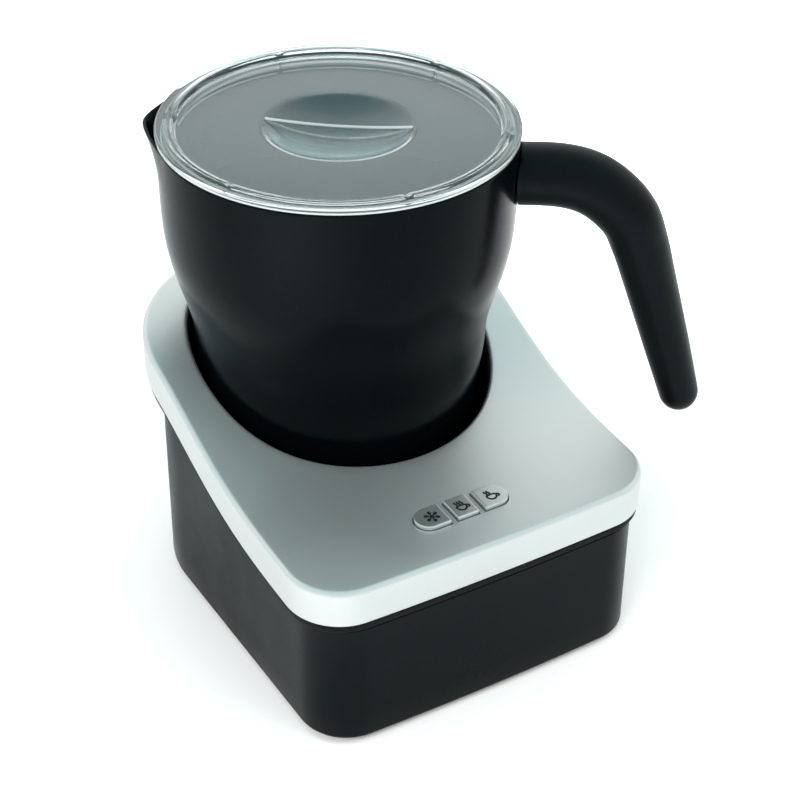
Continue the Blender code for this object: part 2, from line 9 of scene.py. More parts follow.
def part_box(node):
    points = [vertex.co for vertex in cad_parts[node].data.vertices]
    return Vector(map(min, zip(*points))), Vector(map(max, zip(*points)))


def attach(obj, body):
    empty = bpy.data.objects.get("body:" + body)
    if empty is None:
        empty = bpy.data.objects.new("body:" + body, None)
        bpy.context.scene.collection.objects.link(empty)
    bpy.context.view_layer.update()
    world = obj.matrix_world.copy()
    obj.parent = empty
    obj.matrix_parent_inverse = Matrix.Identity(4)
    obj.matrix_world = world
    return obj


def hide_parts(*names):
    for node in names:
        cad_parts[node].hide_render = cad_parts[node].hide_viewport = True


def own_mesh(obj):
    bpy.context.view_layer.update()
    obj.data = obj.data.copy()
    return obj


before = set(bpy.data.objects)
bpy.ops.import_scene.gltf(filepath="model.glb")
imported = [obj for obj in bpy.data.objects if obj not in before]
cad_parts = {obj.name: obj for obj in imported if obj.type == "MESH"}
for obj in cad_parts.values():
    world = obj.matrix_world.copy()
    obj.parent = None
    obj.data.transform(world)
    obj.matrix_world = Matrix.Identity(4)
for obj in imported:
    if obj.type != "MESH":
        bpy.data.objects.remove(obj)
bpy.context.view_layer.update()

ring_lo, ring_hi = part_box("jug_foot_ring")
AXIS = Vector(((ring_lo[0] + ring_hi[0]) / 2, (ring_lo[1] + ring_hi[1]) / 2, 0.0))

# ---- dimensions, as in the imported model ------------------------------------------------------
# each plan: half width, front edge, front corner radius, start of the round back, its depth
COVER_PLAN = (0.0643, -0.0976, 0.0185, 0.0092, 0.0496)
FRAME_PLAN = (0.0637, -0.0973, 0.0181, 0.0089, 0.0494)
HOUSING_PLAN = (0.0608, -0.0970, 0.0166, 0.0030, 0.0510)
FRONT_BOW = 0.0008
# the silver band rises from front to back along a smooth step
RIM_LOW, RIM_RISE, RIM_MID, RIM_SPREAD, RIM_TALL = 0.0500, 0.0335, -0.0105, 0.019, 0.0128
COVER_T, COVER_ROUND = 0.0016, 0.0018
HOUSING_T, HOUSING_Z0, HOUSING_FOOT = 0.0021, 0.0022, 0.0016
FRAME_DROP, HOUSING_DROP = 0.0030, 0.0033
BACK_Y, INLET_Z = HOUSING_PLAN[3] + HOUSING_PLAN[4], 0.0150
HOLE_R, HOLE_ROUND, FLANGE_R = 0.0509, 0.0012, 0.0555
WELL_R, WELL_T, WELL_FLOOR = 0.0501, 0.0015, 0.0340
SENSOR_R, SENSOR_Y, COIL_SEAT = 0.0039, -0.0285, 0.0273
JUG_T, JUG_RIM, JUG_R, JUG_FOOT, JUG_FLOOR = 0.0012, 0.1620, 0.0575, 0.0356, 0.0368
SPOUT_REACH, SPOUT_Z, SPOUT_HALF = 0.0048, 0.1480, 21
HANDLE_DEG, HANDLE_WIDE = -35.0, 1.08
# keys: middle of the row, half depth, half width of the middle key, gap, length of an end key
KEY_X, KEY_Y, KEY_HALF = -0.0016, -0.0790, 0.0047
KEY_MID, KEY_SPACE, KEY_END = 0.0039, 0.0024, 0.0105
KEY_PROUD, KEY_ROOM = 0.0014, 0.00035
LID_TOP, LID_R, LID_DEG, BOWL_R, BOWL_OVAL = 0.1648, 0.05775, -37.5, 0.0232, 0.97
SKIRT_SLOTS = (0, 60, 120, 180, 240, 300)
KEYS = ("cold", "hot", "warm")


# ---- material recipes ------------------------------------------------------------------------
def nodes_of(name):
    """A new material with its node tree, its shader and its output."""
    m = bpy.data.materials.new(name)
    m.use_nodes = True
    t = m.node_tree
    return m, t, t.nodes["Principled BSDF"], t.nodes["Material Output"]


def noise(t, scale, detail=4.0, rough=0.55, stretch=None):
    """Noise in the piece's own metres, optionally stretched along an axis for a drawn grain."""
    at = t.nodes.new("ShaderNodeTexCoord")
    n = t.nodes.new("ShaderNodeTexNoise")
    n.inputs["Scale"].default_value = scale
    n.inputs["Detail"].default_value = detail
    n.inputs["Roughness"].default_value = rough
    if stretch:
        mp = t.nodes.new("ShaderNodeMapping")
        mp.inputs["Scale"].default_value = stretch
        t.links.new(at.outputs["Object"], mp.inputs["Vector"])
        t.links.new(mp.outputs["Vector"], n.inputs["Vector"])
    else:
        t.links.new(at.outputs["Object"], n.inputs["Vector"])
    return n.outputs["Fac"]


def ramp(t, fac, lo, hi, a=0.35, b=0.65):
    """The value moved from the range a to b into the range lo to hi, and held at its ends."""
    r = t.nodes.new("ShaderNodeMapRange")
    r.inputs["From Min"].default_value = a
    r.inputs["From Max"].default_value = b
    r.inputs["To Min"].default_value = lo
    r.inputs["To Max"].default_value = hi
    t.links.new(fac, r.inputs["Value"])
    return r.outputs["Result"]


def blend_colour(t, fac, one, two):
    """A colour between two, each a constant or another node's output."""
    mix = t.nodes.new("ShaderNodeMix")
    mix.data_type = 'RGBA'
    t.links.new(fac, mix.inputs["Factor"])
    for socket, value in (("A", one), ("B", two)):
        s = [i for i in mix.inputs if i.name == socket and i.type == 'RGBA'][0]
        if isinstance(value, tuple):
            s.default_value = (value[0], value[1], value[2], 1.0)
        else:
            t.links.new(value, s)
    return [o for o in mix.outputs if o.type == 'RGBA'][0]


def maths(t, kind, one, two):
    """A sum or product of two values, each a number or another node's output."""
    n = t.nodes.new("ShaderNodeMath")
    n.operation = kind
    for socket, value in zip(n.inputs, (one, two)):
        if isinstance(value, float):
            socket.default_value = value
        else:
            t.links.new(value, socket)
    return n.outputs[0]


def vector_maths(t, kind, vector, fixed=None):
    """A vector less a fixed one, its product with a fixed one, or its length."""
    n = t.nodes.new("ShaderNodeVectorMath")
    n.operation = kind
    t.links.new(vector, n.inputs[0])
    if fixed:
        n.inputs[1].default_value = fixed
    return n.outputs["Vector" if kind == 'SUBTRACT' else "Value"]


def pale_edge_share(t, amount):
    """How much lighter an outer edge is drawn, from how sharply the surface bends there."""
    g = t.nodes.new("ShaderNodeNewGeometry")
    return ramp(t, g.outputs["Pointiness"], 0.0, amount, 0.505, 0.56)


def finish(name, colour, rough, metal=0.0, spec=0.5, vary=0.12, rough_vary=0.06, grain=3500.0,
           bump=0.04, stretch=None, patch=35.0, coat=0.0, pale_edge=0.35, tint=None):
    """A moulded, painted or metal surface: broad colour drift, fine grain, uneven gloss and
    slightly lighter sharp edges."""
    m, t, b, _ = nodes_of(name)
    dark = tuple(c * (1 - vary) for c in colour)
    light = tuple(min(1.0, c * (1 + vary)) for c in colour)
    # sharply bent edges are drawn lighter than the rest of the surface
    pale_edge_colour = tuple(min(1.0, c * 1.5 + 0.02) for c in colour)
    broad = noise(t, patch, 3.0)
    fine = noise(t, grain, 2.0, 0.6, stretch)
    base = blend_colour(t, ramp(t, broad, 0.0, 1.0), dark, light)
    speck = blend_colour(t, ramp(t, fine, 0.0, 0.25), base, light)
    t.links.new(blend_colour(t, pale_edge_share(t, pale_edge), speck, pale_edge_colour), b.inputs["Base Color"])
    half = rough_vary * 0.5
    t.links.new(maths(t, 'ADD', ramp(t, broad, -rough_vary, rough_vary),
                      ramp(t, fine, rough - half, rough + half)), b.inputs["Roughness"])
    bp = t.nodes.new("ShaderNodeBump")
    bp.inputs["Strength"].default_value = bump
    bp.inputs["Distance"].default_value = 0.0002
    t.links.new(fine, bp.inputs["Height"])
    t.links.new(bp.outputs["Normal"], b.inputs["Normal"])
    b.inputs["Metallic"].default_value = metal
    b.inputs["Specular IOR Level"].default_value = spec
    if tint:
        b.inputs["Specular Tint"].default_value = (tint[0], tint[1], tint[2], 1.0)
    b.inputs["Coat Weight"].default_value = coat
    b.inputs["Coat Roughness"].default_value = 0.1
    return m


SILVER = finish("satin_silver", (0.61, 0.632, 0.625), 0.46, 0.88, vary=0.03, rough_vary=0.02,
                grain=2600.0, bump=0.07, patch=22.0, pale_edge=0.15)
KEY_SILVER = finish("key_silver", (0.54, 0.565, 0.56), 0.34, 0.9, vary=0.04, rough_vary=0.03,
                    grain=3200.0, bump=0.06, patch=60.0, pale_edge=0.4)
BLACK = finish("moulded_black", (0.0016, 0.0025, 0.0030), 0.34, spec=0.075, grain=2400.0,
               bump=0.16, patch=30.0, pale_edge=0.1, tint=(0.72, 0.92, 1.0))
INNER_BLACK = finish("inner_black", (0.0024, 0.0028, 0.0030), 0.5, spec=0.06, grain=2400.0,
                     bump=0.15, pale_edge=0.1)
SOFT = finish("soft_touch", (0.0012, 0.0020, 0.0024), 0.34, spec=0.10, grain=4200.0, bump=0.14,
              patch=40.0, pale_edge=0.1, tint=(0.76, 0.94, 1.0))
COATED = finish("coated_black", (0.0010, 0.0017, 0.0022), 0.21, spec=0.055, grain=1800.0,
                bump=0.08, patch=26.0, rough_vary=0.03, pale_edge=0.1, tint=(0.76, 0.94, 1.0))
LINING = finish("jug_lining", (0.020, 0.022, 0.023), 0.34, spec=0.4, grain=1500.0, bump=0.12,
                patch=26.0)
RUBBER = finish("rubber", (0.017, 0.017, 0.017), 0.78, spec=0.3, grain=1500.0, bump=0.35)
STEEL = finish("drawn_steel", (0.56, 0.56, 0.57), 0.24, 1.0, grain=900.0, bump=0.12,
               stretch=(1.0, 1.0, 9.0), pale_edge=0.5)
ZINC = finish("zinc_plate", (0.46, 0.48, 0.49), 0.42, 1.0, vary=0.2, grain=500.0, bump=0.1,
              pale_edge=0.5)
COPPER = finish("enamelled_copper", (0.58, 0.22, 0.08), 0.3, 0.9, grain=1400.0, bump=0.08,
                coat=0.4)
FERRITE = finish("ferrite", (0.05, 0.05, 0.055), 0.6, 0.2, grain=1600.0, bump=0.3)
ALU = finish("aluminium", (0.62, 0.63, 0.64), 0.36, 1.0, grain=700.0, bump=0.12,
             stretch=(8.0, 1.0, 1.0), pale_edge=0.4)
NYLON = finish("nylon", (0.70, 0.69, 0.65), 0.45, grain=1800.0, bump=0.12, vary=0.05)
BOARD = finish("circuit_board", (0.015, 0.14, 0.05), 0.38, grain=900.0, bump=0.1, coat=0.3,
               vary=0.3, patch=260.0)
SILICONE = finish("silicone", (0.36, 0.37, 0.38), 0.5, grain=1300.0, bump=0.1, vary=0.05)
INK = finish("printed_ink", (0.004, 0.005, 0.006), 0.5, spec=0.1, grain=5000.0, bump=0.2)


def clear_plastic(name, tint, haze_and_painted_light_colour, haze_and_painted_light, rough, front=0.0):
    """Clear moulded plastic with a faint smoky haze and a slightly uneven gloss.  A strong,
    whitish haze is a painted highlight, and its thickening towards the front rim of the finger
    bowl is painted light."""
    m, t, b, out = nodes_of(name)
    fine = noise(t, 140.0, 2.0)
    broad = noise(t, 30.0, 2.0)
    b.inputs["Transmission Weight"].default_value = 1.0
    b.inputs["IOR"].default_value = 1.47
    b.inputs["Specular Tint"].default_value = (0.66, 0.92, 1.0, 1.0)
    t.links.new(blend_colour(t, ramp(t, broad, 0.0, 1.0), tint, tuple(c * 0.96 for c in tint)),
                b.inputs["Base Color"])
    t.links.new(ramp(t, fine, rough, rough + 0.008), b.inputs["Roughness"])
    haze_and_painted_light_bsdf = t.nodes.new("ShaderNodeBsdfDiffuse")
    t.links.new(blend_colour(t, ramp(t, broad, 0.0, 1.0), haze_and_painted_light_colour,
                             tuple(c * 0.92 for c in haze_and_painted_light_colour)), haze_and_painted_light_bsdf.inputs["Color"])
    mix = t.nodes.new("ShaderNodeMixShader")
    haze_and_painted_light_share = ramp(t, fine, haze_and_painted_light * 0.97, haze_and_painted_light * 1.03)
    # painted light: a whiter haze over the front half of the finger bowl, fixed to the lid
    if front:
        at = t.nodes.new("ShaderNodeTexCoord")
        turn = radians(LID_DEG)
        away = vector_maths(t, 'SUBTRACT', at.outputs["Object"], (AXIS.x, AXIS.y, 0.1600))
        reach = vector_maths(t, 'LENGTH', away)
        ahead = vector_maths(t, 'DOT_PRODUCT', away, (sin(turn), -cos(turn), 0.0))
        bowl = maths(t, 'MULTIPLY', ramp(t, reach, 1.0, 0.0, 0.0228, 0.0236), front)
        bowl = maths(t, 'MULTIPLY', bowl, ramp(t, ahead, 0.0, 1.0, 0.001, 0.024))
        haze_and_painted_light_share = maths(t, 'ADD', haze_and_painted_light_share, bowl)
    t.links.new(haze_and_painted_light_share, mix.inputs["Fac"])
    t.links.new(b.outputs["BSDF"], mix.inputs[1])
    t.links.new(haze_and_painted_light_bsdf.outputs["BSDF"], mix.inputs[2])
    t.links.new(mix.outputs["Shader"], out.inputs["Surface"])
    return m


# the lid's own haze, with painted light over the front of the finger bowl
CLEAR = clear_plastic("clear_lid", (0.84, 0.90, 0.90), (0.40, 0.51, 0.515), 0.028, 0.004, 0.55)
# painted highlights: whitish materials for the lid's beads, rim, skirt end and bar edge
CLEAR_EDGE_HIGHLIGHT = clear_plastic("clear_lid_edge_highlight", (0.92, 0.96, 0.96), (0.78, 0.82, 0.81), 0.12, 0.02)
CLEAR_LINE_HIGHLIGHT = clear_plastic("clear_lid_line_highlight", (0.92, 0.96, 0.96), (0.84, 0.87, 0.86), 0.42, 0.02)


# ---- mesh helpers ----------------------------------------------------------------------------
def add(name, bm, material, slot, body, *nodes, smooth=30.0, mods=()):
    """Links a mesh as a piece laid out about the jug axis, and ties it to its body."""
    bmesh.ops.recalc_face_normals(bm, faces=bm.faces)
    me = bpy.data.meshes.new(name)
    bm.to_mesh(me)
    bm.free()
    me.transform(Matrix.Translation(AXIS))
    me.shade_smooth()
    me.set_sharp_from_angle(angle=radians(smooth))
    obj = bpy.data.objects.new(name, me)
    bpy.context.scene.collection.objects.link(obj)
    for m in material if isinstance(material, (list, tuple)) else [material]:
        me.materials.append(m)
    for mod in mods:
        mod(obj)
    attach(obj, body)
    if nodes:
        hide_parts(*nodes)
    return obj


def centre(lo, hi):
    """The middle of a packed box, seen from above, about the jug axis."""
    return (lo[0] + hi[0]) / 2 - AXIS.x, (lo[1] + hi[1]) / 2 - AXIS.y, 0.0


def lift(points, height):
    """Outline points at one height, or at a height that follows y."""
    return [(x, y, height(y) if callable(height) else height) for x, y in points]


def band(bm, a, b):
    """The faces between two closed rows of vertices."""
    n = len(a)
    for j in range(n):
        k = (j + 1) % n
        bm.faces.new((a[j], a[k], b[k], b[j]))


def join(bm, other):
    """Adds the other mesh to the first and frees it."""
    me = bpy.data.meshes.new("part")
    other.to_mesh(me)
    other.free()
    bm.from_mesh(me)
    bpy.data.meshes.remove(me)
    return bm


def loft(rings, first=None, last=None, wrap=False):
    """Faces between rings of equal counts of points; a tip point may close either end."""
    bm = bmesh.new()
    rows = [[bm.verts.new(p) for p in ring] for ring in rings]
    for a, b in list(zip(rows, rows[1:])) + ([(rows[-1], rows[0])] if wrap else []):
        band(bm, a, b)
    for tip, row in ((first, rows[0]), (last, rows[-1])):
        if tip is not None:
            v = bm.verts.new(tip)
            for j, p in enumerate(row):
                bm.faces.new((p, row[(j + 1) % len(row)], v))
    return bm


def soften(points, r, n=3, loop=False):
    """The same outline with each corner rounded; r is one radius or one for each point."""
    out = []
    last = len(points) - 1
    for i, p in enumerate(points):
        ri = r[i] if isinstance(r, (list, tuple)) else r
        if (i in (0, last) and not loop) or ri <= 0:
            out.append(p)
            continue
        a, c = points[i - 1], points[(i + 1) % len(points)]
        la, lc = hypot(a[0] - p[0], a[1] - p[1]), hypot(c[0] - p[0], c[1] - p[1])
        k = min(ri, la * 0.48, lc * 0.48)
        s = (p[0] + (a[0] - p[0]) / la * k, p[1] + (a[1] - p[1]) / la * k)
        e = (p[0] + (c[0] - p[0]) / lc * k, p[1] + (c[1] - p[1]) / lc * k)
        for j in range(n + 1):
            u = j / n
            out.append(tuple((1 - u) ** 2 * s[q] + 2 * u * (1 - u) * p[q] + u * u * e[q]
                             for q in (0, 1)))
    return out


def spin(profile, n=96, at=(0.0, 0.0, 0.0), loop=False, shape=None, bm=None):
    """Turns a (radius, height) outline about an upright line.  Open outlines start and end on
    that line.  shape(angle, r, z) may move a point."""
    tips = [None, None]
    prof = list(profile)
    if not loop:
        tips = [(at[0], at[1], at[2] + prof[0][1]), (at[0], at[1], at[2] + prof[-1][1])]
        prof = prof[1:-1]
    rings = []
    for r, z in prof:
        ring = []
        for i in range(n):
            a = 2 * pi * i / n
            x, y, h = (r * cos(a), r * sin(a), z) if shape is None else shape(a, r, z)
            ring.append((at[0] + x, at[1] + y, at[2] + h))
        rings.append(ring)
    made = loft(rings, tips[0], tips[1], loop)
    return made if bm is None else join(bm, made)


def smooth_line(keys, each=6):
    """Points on a smooth curve through the keys."""
    out = []
    for i in range(len(keys) - 1):
        p, q, r = keys[max(i - 1, 0)], keys[i], keys[i + 1]
        s = keys[min(i + 2, len(keys) - 1)]
        for j in range(each):
            t = j / each
            out.append(tuple(0.5 * (2 * b + (c - a) * t + (2 * a - 5 * b + 4 * c - d) * t * t
                                    + (3 * b - a - 3 * c + d) * t ** 3)
                             for a, b, c, d in zip(p, q, r, s)))
    out.append(tuple(keys[-1]))
    return out


def tube(points, radius, n=8, closed=False, bm=None):
    """A round tube along 3-D points, closed into a loop or with flat ends."""
    bm = bm or bmesh.new()
    count = len(points)
    rows = []
    side = None
    for i, p in enumerate(points):
        p = Vector(p)
        ahead = Vector(points[(i + 1) % count]) if closed or i < count - 1 else p
        behind = Vector(points[i - 1]) if closed or i > 0 else p
        way = (ahead - behind).normalized()
        if side is None:
            side = way.orthogonal().normalized()
        side = (side - way * side.dot(way)).normalized()
        other = way.cross(side)
        angles = [2 * pi * j / n for j in range(n)]
        rows.append([bm.verts.new(p + (side * cos(a) + other * sin(a)) * radius) for a in angles])
    if closed:
        # the frame's drift round the loop is taken up by matching the nearest vertex
        first = rows[0]
        shift = min(range(n), key=lambda k: (rows[-1][0].co - first[k].co).length)
        rows.append([first[(j + shift) % n] for j in range(n)])
    for a, b in zip(rows, rows[1:]):
        band(bm, a, b)
    if not closed:
        bm.faces.new(rows[0][::-1])
        bm.faces.new(rows[-1])
    return bm


def prism(outline, z0, z1):
    """A solid between two heights with a flat or sloping end at each."""
    bm = bmesh.new()
    low = [bm.verts.new(p) for p in lift(outline, z0)]
    top = [bm.verts.new(p) for p in lift(outline, z1)]
    bm.faces.new(top)
    bm.faces.new(low[::-1])
    band(bm, low, top)
    return bm


def cutter(bm):
    """A solid for a Boolean, laid out about the jug axis; removed once it has been used."""
    bmesh.ops.recalc_face_normals(bm, faces=bm.faces)
    me = bpy.data.meshes.new("cutter")
    bm.to_mesh(me)
    bm.free()
    me.transform(Matrix.Translation(AXIS))
    obj = bpy.data.objects.new("cutter", me)
    bpy.context.scene.collection.objects.link(obj)
    return obj


def cut(obj, tools, smooth=30.0):
    """Cuts each tool away, keeps the result as the piece's own mesh and drops the tools."""
    look = obj.data.materials[0]
    for tool in tools:
        m = obj.modifiers.new("cut", 'BOOLEAN')
        m.operation = 'DIFFERENCE'
        m.solver = 'EXACT'
        m.object = tool
    bpy.context.view_layer.update()
    dg = bpy.context.evaluated_depsgraph_get()
    made = bpy.data.meshes.new_from_object(obj.evaluated_get(dg))
    obj.modifiers.clear()
    obj.data = made
    for tool in tools:
        bpy.data.objects.remove(tool, do_unlink=True)
    made.shade_smooth()
    made.set_sharp_from_angle(angle=radians(smooth))
    made.materials.clear()
    made.materials.append(look)


def bevelled(width, segments, angle):
    """A modifier that rounds every edge sharper than the angle."""
    def put(obj):
        m = obj.modifiers.new("edge", 'BEVEL')
        m.width = width
        m.segments = segments
        m.limit_method = 'ANGLE'
        m.angle_limit = radians(angle)
        m.harden_normals = True
    return put


# ---- shape rules of the base -----------------------------------------------------------------
def rim_low(y):
    """Height of the silver band's lower edge."""
    return RIM_LOW + RIM_RISE / (1.0 + exp(-(y - RIM_MID) / RIM_SPREAD))


def deck(y):
    """Height of the cover's top surface."""
    return rim_low(y) + RIM_TALL


def plan(shape, inset=0.0):
    """Outline of the base seen from above, counter-clockwise from the front's left end."""
    front, corner, side, back = 24, 18, 40, 96
    half, edge, bend, turn_y, depth = shape
    w, y0, r, d = half - inset, edge + inset, bend - inset, depth - inset
    pts = []
    for i in range(front):
        x = (w - r) * (2 * i / front - 1)
        pts.append((x, y0 - FRONT_BOW * (1 - (x / (w - r)) ** 2)))
    for i in range(corner):
        a = radians(-90 + 90 * i / corner)
        pts.append((w - r + r * cos(a), y0 + r + r * sin(a)))
    side_y = [y0 + r + (turn_y - y0 - r) * i / side for i in range(side)]
    pts += [(w, y) for y in side_y]
    for i in range(back):
        a = pi * i / back
        pts.append((w * cos(a), turn_y + d * sin(a)))
    pts += [(-w, y) for y in [turn_y] + side_y[:0:-1]]
    for i in range(corner):
        a = radians(180 + 90 * i / corner)
        pts.append((-(w - r) + r * cos(a), y0 + r + r * sin(a)))
    return pts


def circle_for(points, r):
    """The points of a circle that lie in the same directions as the given ones."""
    return [(x * r / hypot(x, y), y * r / hypot(x, y)) for x, y in points]


def between(one, two, t):
    """Points a share t of the way from each point of one outline to its mate in the other."""
    return [(a[0] + (b[0] - a[0]) * t, a[1] + (b[1] - a[1]) * t) for a, b in zip(one, two)]


def key_outline(n, room=0.0):
    """One key from above: the end keys have a half-round outer end, the middle one is square."""
    steps = 20
    spans = {"cold": (-KEY_MID - KEY_SPACE - KEY_END, -KEY_MID - KEY_SPACE),
             "hot": (-KEY_MID, KEY_MID),
             "warm": (KEY_MID + KEY_SPACE, KEY_MID + KEY_SPACE + KEY_END)}
    x0, x1 = KEY_X + spans[n][0] - room, KEY_X + spans[n][1] + room
    r = KEY_HALF + room
    if n == "warm":
        pts = [(x1 - r + r * cos(a), r * sin(a)) for a in
               [radians(-90 + 180 * k / steps) for k in range(steps + 1)]]
    else:
        pts = [(x1, -r), (x1, r)]
    if n == "cold":
        pts += [(x0 + r + r * cos(a), r * sin(a)) for a in
                [radians(90 + 180 * k / steps) for k in range(steps + 1)]]
    else:
        pts += [(x0, r), (x0, -r)]
    return [(x, KEY_Y + y) for x, y in pts]


# ---- base pieces -----------------------------------------------------------------------------
def make_cover():
    """The silver skin: up the outside, over the deck, round the jug hole and back inside."""
    outer = plan(COVER_PLAN)
    edge = plan(COVER_PLAN, COVER_ROUND)
    under = plan(COVER_PLAN, COVER_T)
    rings = [lift(plan(COVER_PLAN, 0.0010), rim_low),
             lift(plan(COVER_PLAN, 0.0005), rim_low),
             lift(plan(COVER_PLAN, 0.00012), lambda y: rim_low(y) + 0.00012),
             lift(outer, lambda y: rim_low(y) + 0.0005)]
    for k in (0.35, 0.7, 1.0):
        rings.append(lift(outer, lambda y, k=k: rim_low(y) + (RIM_TALL - COVER_ROUND) * k))
    for i in range(1, 10):
        a = radians(9 * i)
        drop = COVER_ROUND * (1 - sin(a))
        rings.append(lift(plan(COVER_PLAN, COVER_ROUND * (1 - cos(a))),
                          lambda y, d=drop: deck(y) - d))
    lip = circle_for(edge, HOLE_R + HOLE_ROUND)
    for k in range(15):
        rings.append(lift(between(edge, lip, k / 15), deck))
    for deg in (0, 20, 45, 70, 90):
        a = radians(deg)
        rings.append(lift(circle_for(edge, HOLE_R + HOLE_ROUND - HOLE_ROUND * sin(a)),
                          lambda y, a=a: deck(y) - HOLE_ROUND * (1 - cos(a))))
    rings.append(lift(circle_for(edge, HOLE_R), lambda y: deck(y) - 0.0022))
    rings.append(lift(circle_for(edge, HOLE_R + COVER_T * 0.9), lambda y: deck(y) - 0.0022))
    rings.append(lift(circle_for(edge, HOLE_R + COVER_T), lambda y: deck(y) - COVER_T))
    inner_lip = circle_for(edge, HOLE_R + COVER_T)
    for t in (0.35, 0.7, 1.0):
        rings.append(lift(between(inner_lip, edge, t), lambda y: deck(y) - COVER_T))
    for deg in (60, 30, 0):
        a = radians(deg)
        r = COVER_ROUND - COVER_T
        rings.append(lift(plan(COVER_PLAN, COVER_T + r * (1 - cos(a))),
                          lambda y, a=a, r=r: deck(y) - COVER_T - r * (1 - sin(a))))
    rings.append(lift(under, lambda y: rim_low(y) + 0.0003))
    obj = add("cover_skin", loft(rings, wrap=True), SILVER, "silver", "base", "top_cover",
              smooth=40)
    cut(obj, [cutter(prism(key_outline(n, KEY_ROOM), 0.054, 0.07)) for n in KEYS], smooth=40)


def make_frame_lip():
    """The dark line between the silver band and the housing."""
    outer, inner = plan(FRAME_PLAN), plan(HOUSING_PLAN, HOUSING_T)
    low = lambda y: rim_low(y) - FRAME_DROP
    high = lambda y: rim_low(y) - 0.0003
    rings = [lift(plan(FRAME_PLAN, 0.0008), low),
             lift(plan(FRAME_PLAN, 0.0003), lambda y: low(y) + 0.0002),
             lift(outer, lambda y: low(y) + 0.0008),
             lift(outer, lambda y: high(y) - 0.0003), lift(plan(FRAME_PLAN, 0.0003), high),
             lift(inner, high), lift(inner, low)]
    add("frame_lip", loft(rings, wrap=True), INNER_BLACK, "black_plastic", "base", "deck_frame")


def make_housing():
    """The black wall of the base with a rounded foot and a bore for the cord inlet."""
    top = lambda y: rim_low(y) - HOUSING_DROP
    rings = []
    for deg in (0, 22, 45, 68, 90):
        a = radians(deg)
        rings.append(lift(plan(HOUSING_PLAN, HOUSING_FOOT * (1 - sin(a))),
                          HOUSING_Z0 + HOUSING_FOOT * (1 - cos(a))))
    for z in (0.012, 0.024, 0.036):
        rings.append(lift(plan(HOUSING_PLAN), z))
    rings.append(lift(plan(HOUSING_PLAN), lambda y: top(y) - 0.0003))
    rings.append(lift(plan(HOUSING_PLAN, 0.0003), top))
    rings.append(lift(plan(HOUSING_PLAN, HOUSING_T), top))
    rings.append(lift(plan(HOUSING_PLAN, HOUSING_T), HOUSING_Z0))
    obj = add("housing_wall", loft(rings, wrap=True), BLACK, "black_plastic", "base",
              "base_housing")
    bore = spin(((0, -0.012), (0.0052, -0.012), (0.0052, 0.012), (0, 0.012)), 48)
    bmesh.ops.rotate(bore, matrix=Matrix.Rotation(radians(90), 3, 'X'), verts=bore.verts)
    bmesh.ops.translate(bore, vec=(0, BACK_Y, INLET_Z), verts=bore.verts)
    cut(obj, [cutter(bore)])


def make_well():
    """The black bowl that holds the jug, with a flange under the cover and a sensor bore."""
    n = 160
    flat = [(cos(2 * pi * i / n), sin(2 * pi * i / n)) for i in range(n)]
    at = lambda r, z: lift([(x * r, y * r) for x, y in flat], z)
    under = lambda y: deck(y) - 0.0031
    down = [(WELL_R, 0.0500), (WELL_R - 0.0006, 0.0460), (0.0488, 0.0385), (0.0472, 0.0349),
            (0.0447, WELL_FLOOR)]
    inner = soften(down, 0.0022, 4)
    rings = [at(FLANGE_R, under), at(WELL_R + 0.0006, under),
             at(WELL_R + 0.0001, lambda y: under(y) - 0.0003),
             at(WELL_R, lambda y: under(y) - 0.0009)]
    rings += [at(r, z) for r, z in inner]
    # a fine groove runs round the floor where the jug's foot ring sits
    for r, dip in ((0.0420, 0.0), (0.0418, 0.0003), (0.0414, 0.0003), (0.0412, 0.0),
                   (0.030, 0.0), (0.0050, 0.0)):
        rings.append(at(r, WELL_FLOOR - dip))
    outer = [(0.0440, WELL_FLOOR - WELL_T), (0.0484, 0.0340), (0.0502, 0.0380),
             (0.0510, 0.0455), (WELL_R + WELL_T, 0.0500)]
    outside = [at(r, z) for r, z in outer]
    outside += [at(r, lambda y: under(y) - WELL_T) for r in (WELL_R + WELL_T, FLANGE_R)]
    # the sensor bore is off the axis, so the middle is closed first and the bore cut afterwards
    bm = join(loft(rings, last=(0, 0, WELL_FLOOR)),
              loft(outside, first=(0, 0, WELL_FLOOR - WELL_T)))
    bmesh.ops.bridge_loops(bm, edges=[e for e in bm.edges if e.is_boundary])
    obj = add("well_bowl", bm, INNER_BLACK, "black_plastic", "base", "well_liner", smooth=35)
    bore = ((0, 0.030), (SENSOR_R, 0.030), (SENSOR_R, 0.037), (0, 0.037))
    cut(obj, [cutter(spin(bore, 40, at=(0, SENSOR_Y, 0)))], smooth=35)


def make_feet():
    for n in ("front_left", "front_right", "rear_left", "rear_right"):
        lo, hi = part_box("foot_" + n)
        at = centre(lo, hi)
        prof = [(0, 0.0022), (0.0078, 0.0022), (0.0080, 0.0006), (0.0074, 0.0), (0.0062, 0.0),
                (0.0058, 0.0004), (0.0050, 0.0004), (0.0046, 0.0), (0, 0.0)]
        add("foot_pad_" + n, spin(soften(prof, 0.0002, 3), 64, at), RUBBER, "rubber", "base",
            "foot_" + n)


